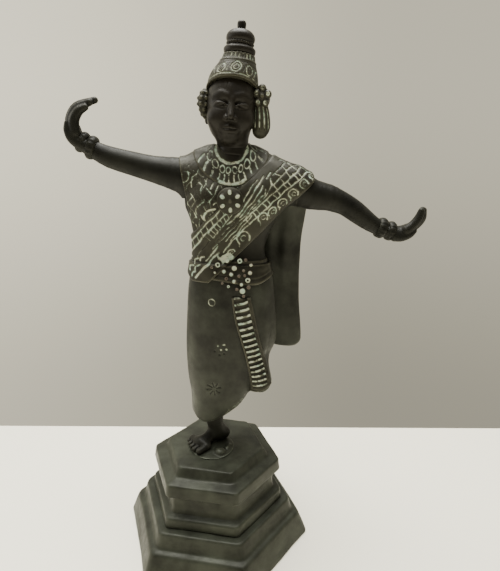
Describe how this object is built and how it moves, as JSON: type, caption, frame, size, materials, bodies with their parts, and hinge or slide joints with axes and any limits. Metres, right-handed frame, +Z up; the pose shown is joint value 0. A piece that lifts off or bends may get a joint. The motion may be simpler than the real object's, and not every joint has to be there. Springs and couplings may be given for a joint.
{
  "type": "temple dancer statuette",
  "caption": "Dark cast bronze figure of a classical dancer with arms outstretched and one leg bent back, on a stepped six-sided pedestal; a free-standing ornament.",
  "frame": {"origin": "middle of the base's underside, on the surface that the statuette stands on", "axes": "+Z up; -Y is the front face of the six-sided base; X runs through two of its corners; the figure looks about 12 degrees from -Y towards +X"},
  "size_m": [0.2738, 0.1472, 0.4213],
  "materials": {
    "bronze_base": "dark olive-brown patinated cast bronze, soft satin, worn lighter on ledges",
    "bronze_body": "near-black brown patinated cast bronze, smooth satin",
    "bronze_cloth": "dark olive patinated cast bronze with pale residue in the chased lines",
    "bronze_jewellery": "dark patinated cast bronze, chased, with pale green-white residue in the recesses",
    "brass_pins": "plain turned brass",
    "steel_fasteners": "plain zinc-grey steel"
  },
  "bodies": {
    "root": {"base_plinth": "bronze_base", "base_pedestal": "bronze_base", "base_top": "bronze_base", "foot_mound": "bronze_base", "standing_leg": "bronze_body", "raised_leg": "bronze_body", "torso": "bronze_body", "arm_right": "bronze_body", "arm_left": "bronze_body", "hand_right": "bronze_body", "hand_left": "bronze_body", "head": "bronze_body", "skirt": "bronze_cloth", "skirt_pleats": "bronze_cloth", "bodice_wrap": "bronze_cloth", "shoulder_sash": "bronze_cloth", "sash_tail": "bronze_cloth", "waist_belt": "bronze_jewellery", "belt_buckle": "bronze_jewellery", "collar": "bronze_jewellery", "chest_medallion": "bronze_jewellery", "crown": "bronze_jewellery", "crown_disc_lower": "bronze_jewellery", "crown_disc_upper": "bronze_jewellery", "finial_knob": "bronze_jewellery", "ear_ornament_right": "bronze_jewellery", "ear_flower_left": "bronze_jewellery", "ear_tassel_left": "bronze_jewellery", "bangles_right": "bronze_jewellery", "bangles_left": "bronze_jewellery", "raised_ankle_ring": "bronze_jewellery", "base_locating_pins": "brass_pins", "finial_pin": "brass_pins", "neck_dowel": "brass_pins", "waist_dowel": "brass_pins", "shoulder_dowels": "brass_pins", "wrist_dowels": "brass_pins", "mounting_stud": "steel_fasteners", "mounting_washer": "steel_fasteners", "mounting_nut": "steel_fasteners"}
  },
  "joints": []
}
